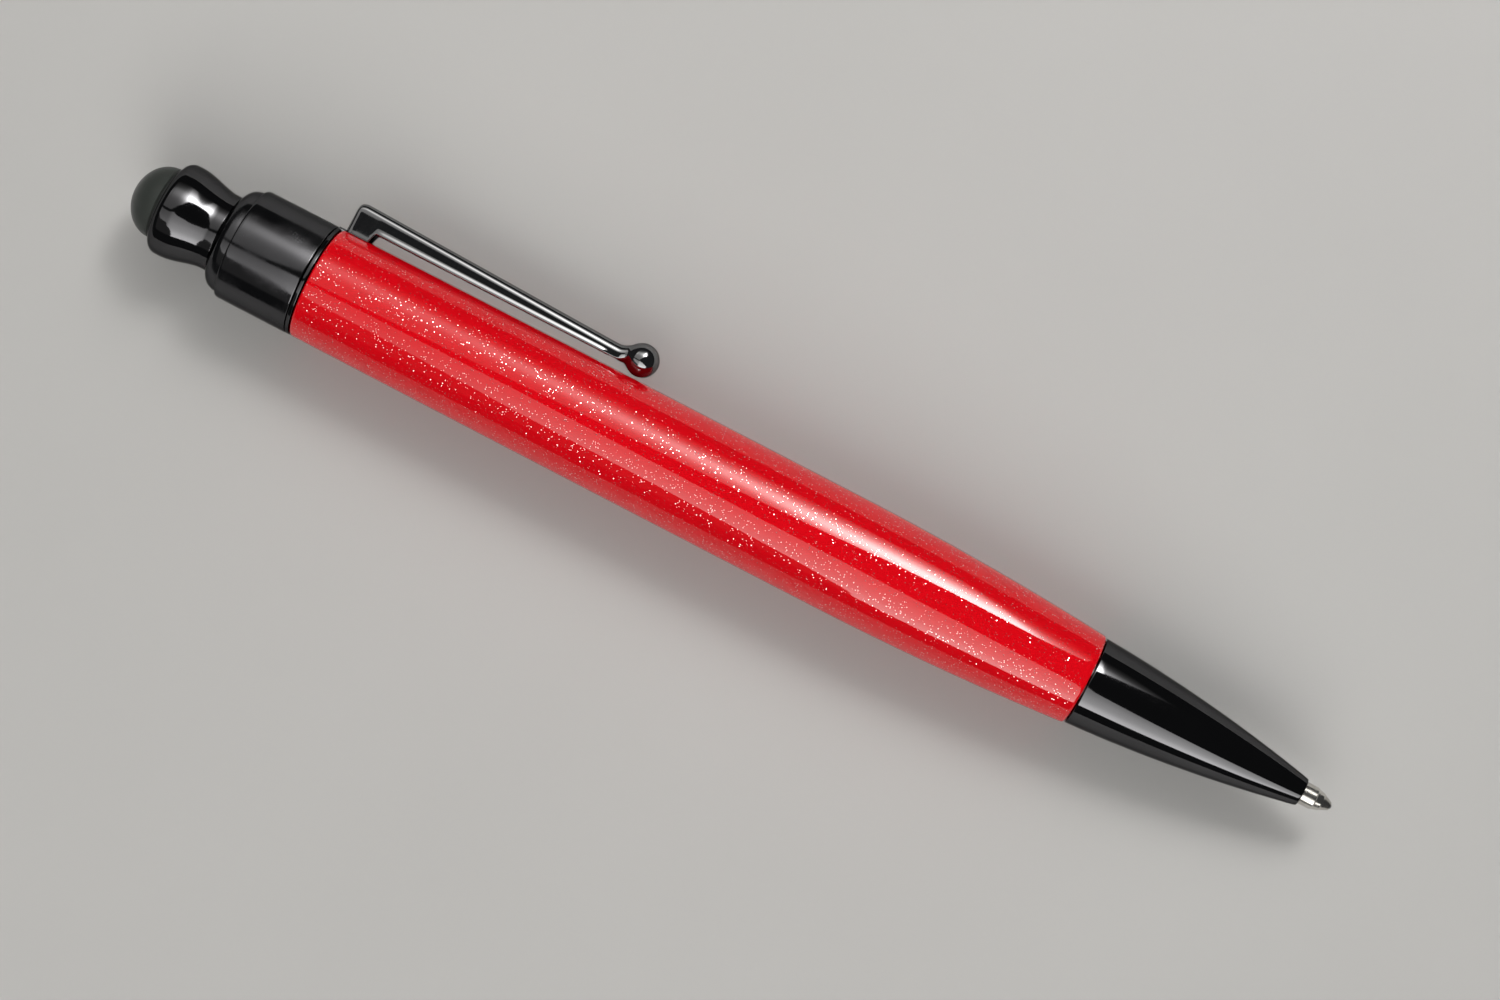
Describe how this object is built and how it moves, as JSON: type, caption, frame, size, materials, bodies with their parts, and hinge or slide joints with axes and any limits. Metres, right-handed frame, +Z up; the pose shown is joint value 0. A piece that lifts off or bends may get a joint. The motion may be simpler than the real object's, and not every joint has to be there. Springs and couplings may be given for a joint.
{
  "type": "rollerball pen",
  "caption": "Twist-action rollerball pen with a glitter barrel, pocket clip with a ball end, black nose cone and a rubber touch stylus on its rear end.",
  "frame": {"origin": "centre of the bottom of the pen's bounding box, on the surface that the pen lies on", "axes": "+X along the pen's axis to the writing tip, +Y to the side the clip is on, +Z up from the table"},
  "size_m": [0.1298, 0.0152, 0.0116],
  "materials": {
    "rubber_black": "matt soft rubber",
    "lacquer_black": "mirror-gloss black plating",
    "clip_black": "gloss black coating on spring steel",
    "glitter_red": "clear gloss over red with fine silver glitter",
    "brass": "drawn and turned",
    "steel": "polished",
    "spring_steel": "drawn wire",
    "plastic_white": "moulded",
    "plastic_black": "moulded",
    "ink_fibre": "ink-soaked fibre",
    "carbide": "polished carbide"
  },
  "bodies": {
    "barrel": {"barrel_sleeve": "glitter_red", "liner_tube": "brass", "rear_bushing": "brass", "front_bushing": "brass", "mechanism_body": "brass", "friction_ring": "rubber_black", "clip_ring": "clip_black"},
    "knob": {"stylus_tip": "rubber_black", "stylus_core": "plastic_black", "finial": "lacquer_black", "twist_collar": "lacquer_black", "knob_bushing": "plastic_black", "cam_sleeve": "steel", "snap_ring": "spring_steel"},
    "refill": {"pusher": "plastic_white", "cam_pin": "steel", "refill_crown": "plastic_white", "refill_tube": "steel", "ink_reservoir": "ink_fibre", "feed_wick": "ink_fibre", "refill_neck": "plastic_white", "refill_tip": "steel"},
    "ball": {"writing_ball": "carbide"},
    "clip": {"clip_arm": "clip_black", "clip_ball": "clip_black"},
    "nose_carriage": {"return_spring": "spring_steel"},
    "nose": {"nose_cone": "lacquer_black"}
  },
  "joints": [
    {"name": "knob_twist", "type": "hinge", "parent": "barrel", "child": "knob", "pos_m": [-0.05045, -0.00178, 0.00581], "axis": [1, 0, 0], "range_deg": [-180, 0]},
    {"name": "refill_slide", "type": "slide", "parent": "barrel", "child": "refill", "axis": [1, 0, 0], "range_m": [-0.0056, 0], "deforming": ["return_spring"]},
    {"name": "ball_roll", "type": "hinge", "parent": "refill", "child": "ball", "pos_m": [0.0646, -0.00178, 0.00581], "axis": [0, 1, 0], "continuous": true},
    {"name": "clip_flex", "type": "hinge", "parent": "barrel", "child": "clip", "pos_m": [-0.04495, 0.00477, 0.00575], "axis": [0, 0.0087, 1], "range_deg": [0, 4], "stiffness_Nm_per_rad": 2},
    {"name": "nose_slide", "type": "slide", "parent": "barrel", "child": "nose_carriage", "axis": [1, 0, 0], "range_m": [0, 0.00525]},
    {"name": "nose_unscrew", "type": "hinge", "parent": "nose_carriage", "child": "nose", "pos_m": [0.04505, -0.00178, 0.00581], "axis": [1, 0, 0], "range_deg": [0, 2520]}
  ],
  "couplings": [
    {"joint": "knob_twist", "follows": "refill_slide", "rad_per_m": 561},
    {"joint": "nose_unscrew", "follows": "nose_slide", "rad_per_m": 8377.6}
  ]
}
